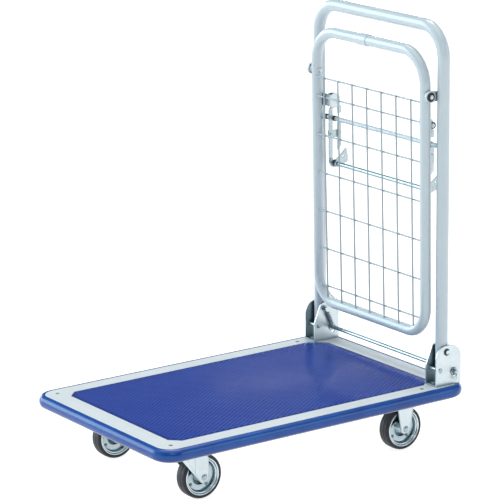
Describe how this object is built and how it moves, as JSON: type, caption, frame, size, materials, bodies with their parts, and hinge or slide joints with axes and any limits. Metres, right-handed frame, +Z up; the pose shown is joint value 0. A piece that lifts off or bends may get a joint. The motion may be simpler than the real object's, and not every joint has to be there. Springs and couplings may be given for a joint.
{
  "type": "folding platform cart",
  "caption": "Platform cart with a padded-edge deck on casters, a tube handle that folds flat over the deck and a wire mesh shelf that swings out of the handle on locking struts.",
  "frame": {"origin": "on the floor under the centre of the deck, at the middle of the bounding box's bottom face", "axes": "+X towards the handle end, +Y towards the pusher's right, +Z up"},
  "size_m": [0.74, 0.48, 0.8717],
  "materials": {
    "deck_paint": "satin light grey paint",
    "mat_vinyl": "embossed blue vinyl",
    "bumper_vinyl": "glossy blue vinyl",
    "zinc": "bright zinc plate",
    "rim_zinc": "bright zinc plate, pressed",
    "bearing_steel": "polished steel",
    "black_steel": "blackened spring steel",
    "tube_paint": "glossy white powder coat",
    "wire_paint": "white powder coat",
    "black_plastic": "matt black",
    "nylon": "natural nylon",
    "black_rubber": "matt rubber",
    "tyre": "black rubber"
  },
  "bodies": {
    "cart": {"deck_tray": "deck_paint", "deck_mat": "mat_vinyl", "deck_bumper": "bumper_vinyl", "deck_rivets": "zinc", "deck_ribs": "deck_paint", "deck_cross_channel": "deck_paint", "hinge_bracket_left": "zinc", "hinge_bracket_right": "zinc", "hinge_bracket_bolts": "zinc", "fold_pins": "zinc", "fold_pin_e_rings": "black_steel", "stop_pins": "zinc", "lock_springs": "bearing_steel", "swivel_plates": "zinc", "swivel_bearing_balls": "bearing_steel", "kingpins": "zinc", "caster_bolts": "zinc", "fixed_forks": "zinc", "rear_axles": "zinc"},
    "lock": {"lock_rod": "zinc", "lock_rod_washers": "zinc", "lock_split_pins": "zinc"},
    "handle": {"handle_tube": "tube_paint", "handle_fold_bushes": "nylon", "handle_end_plugs": "black_plastic", "handle_crossbar": "tube_paint", "crossbar_sleeves": "black_plastic", "shelf_lugs": "tube_paint", "shelf_pivot_bushes": "black_rubber"},
    "shelf": {"shelf_frame": "tube_paint", "shelf_frame_swage": "tube_paint", "mesh_vertical_wires": "wire_paint", "mesh_horizontal_wires": "wire_paint", "shelf_pivot_bolts": "zinc", "shelf_pivot_washers": "nylon", "strut_brackets": "zinc", "strut_pins": "zinc", "strut_pin_buffers": "black_rubber"},
    "strut": {"strut_left": "zinc", "strut_right": "zinc", "strut_cross_rod": "zinc", "strut_rod_collars": "zinc", "strut_rivets": "zinc"},
    "swivel_left": {"swivel_fork_left": "zinc", "swivel_axle_left": "zinc"},
    "swivel_right": {"swivel_fork_right": "zinc", "swivel_axle_right": "zinc"},
    "wheel_front_left": {"tyre_front_left": "tyre", "rim_front_left": "rim_zinc", "wheel_fittings_front_left": "rim_zinc"},
    "wheel_front_right": {"tyre_front_right": "tyre", "rim_front_right": "rim_zinc", "wheel_fittings_front_right": "rim_zinc"},
    "wheel_rear_left": {"tyre_rear_left": "tyre", "rim_rear_left": "rim_zinc", "wheel_fittings_rear_left": "rim_zinc"},
    "wheel_rear_right": {"tyre_rear_right": "tyre", "rim_rear_right": "rim_zinc", "wheel_fittings_rear_right": "rim_zinc"}
  },
  "joints": [
    {"name": "handle_fold", "type": "hinge", "parent": "cart", "child": "handle", "pos_m": [0.3235, 0, 0.207], "axis": [0, -1, 0], "range_deg": [0, 90]},
    {"name": "lock_release", "type": "slide", "parent": "cart", "child": "lock", "axis": [0.3952, 0, -0.9186], "range_m": [0, 0.009], "stiffness_N_per_m": 2500, "springref_m": -0.004, "deforming": ["lock_springs"]},
    {"name": "shelf_fold", "type": "hinge", "parent": "handle", "child": "shelf", "pos_m": [0.298, 0, 0.725], "axis": [0, -1, 0], "range_deg": [-90.6, 0]},
    {"name": "strut_swing", "type": "hinge", "parent": "shelf", "child": "strut", "pos_m": [0.3267, 0, 0.6603], "axis": [0, 1, 0], "range_deg": [-142.2, 0]},
    {"name": "swivel_left", "type": "hinge", "parent": "cart", "child": "swivel_left", "pos_m": [-0.266, -0.151, 0.1], "axis": [0, 0, 1], "continuous": true},
    {"name": "swivel_right", "type": "hinge", "parent": "cart", "child": "swivel_right", "pos_m": [-0.266, 0.151, 0.1], "axis": [0, 0, 1], "continuous": true},
    {"name": "wheel_front_left_spin", "type": "hinge", "parent": "swivel_left", "child": "wheel_front_left", "pos_m": [-0.232, -0.151, 0.045], "axis": [0, 1, 0], "continuous": true},
    {"name": "wheel_front_right_spin", "type": "hinge", "parent": "swivel_right", "child": "wheel_front_right", "pos_m": [-0.232, 0.151, 0.045], "axis": [0, 1, 0], "continuous": true},
    {"name": "wheel_rear_left_spin", "type": "hinge", "parent": "cart", "child": "wheel_rear_left", "pos_m": [0.26, -0.151, 0.045], "axis": [0, 1, 0], "continuous": true},
    {"name": "wheel_rear_right_spin", "type": "hinge", "parent": "cart", "child": "wheel_rear_right", "pos_m": [0.26, 0.151, 0.045], "axis": [0, 1, 0], "continuous": true}
  ],
  "couplings": [
    {"joint": "strut_swing", "follows": "shelf_fold", "ratio": 1.5652}
  ]
}
